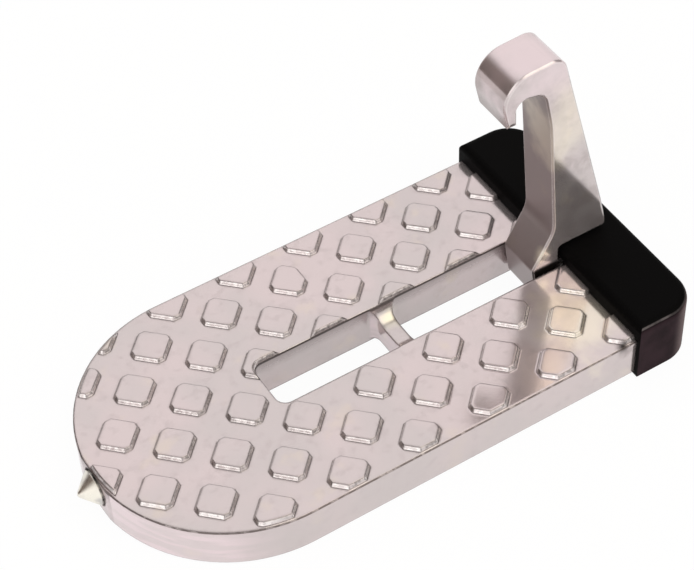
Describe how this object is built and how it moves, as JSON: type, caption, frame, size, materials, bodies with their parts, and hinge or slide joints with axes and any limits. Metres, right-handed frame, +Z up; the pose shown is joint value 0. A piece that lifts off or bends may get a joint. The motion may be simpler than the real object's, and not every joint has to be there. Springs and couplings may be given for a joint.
{
  "type": "car door latch step",
  "caption": "Pocket tread plate that hangs by a fold-out hook on a door latch striker, with a rubber bumper at the body end and a hard steel point at the round end.",
  "frame": {"origin": "middle of the bottom of the whole object's box, which is the level of the bumper's underside", "axes": "+X along the plate from the round end to the rubber bumper, +Y across it along the hinge, +Z up out of the tread"},
  "size_m": [0.1616, 0.0826, 0.0866],
  "materials": {
    "cast_alloy": "tumbled die casting, satin",
    "cast_alloy_arm": "linished die casting, semi-bright",
    "pin_steel": "ground",
    "washer_steel": "zinc plated",
    "black_rubber": "moulded, satin",
    "screw_steel": "zinc plated",
    "tip_steel": "turned and hardened, bright"
  },
  "bodies": {
    "step": {"step_plate": "cast_alloy", "pivot_pin": "pin_steel", "pivot_washer_near": "washer_steel", "pivot_washer_far": "washer_steel", "rubber_bumper": "black_rubber", "bumper_screw_near": "screw_steel", "bumper_screw_far": "screw_steel", "hammer_tip": "tip_steel"},
    "hook": {"hook_arm": "cast_alloy_arm"}
  },
  "joints": [
    {"name": "hook_fold", "type": "hinge", "parent": "step", "child": "hook", "pos_m": [0.06383, 0, 0.00735], "axis": [0, -1, 0], "range_deg": [-2, 77]}
  ]
}
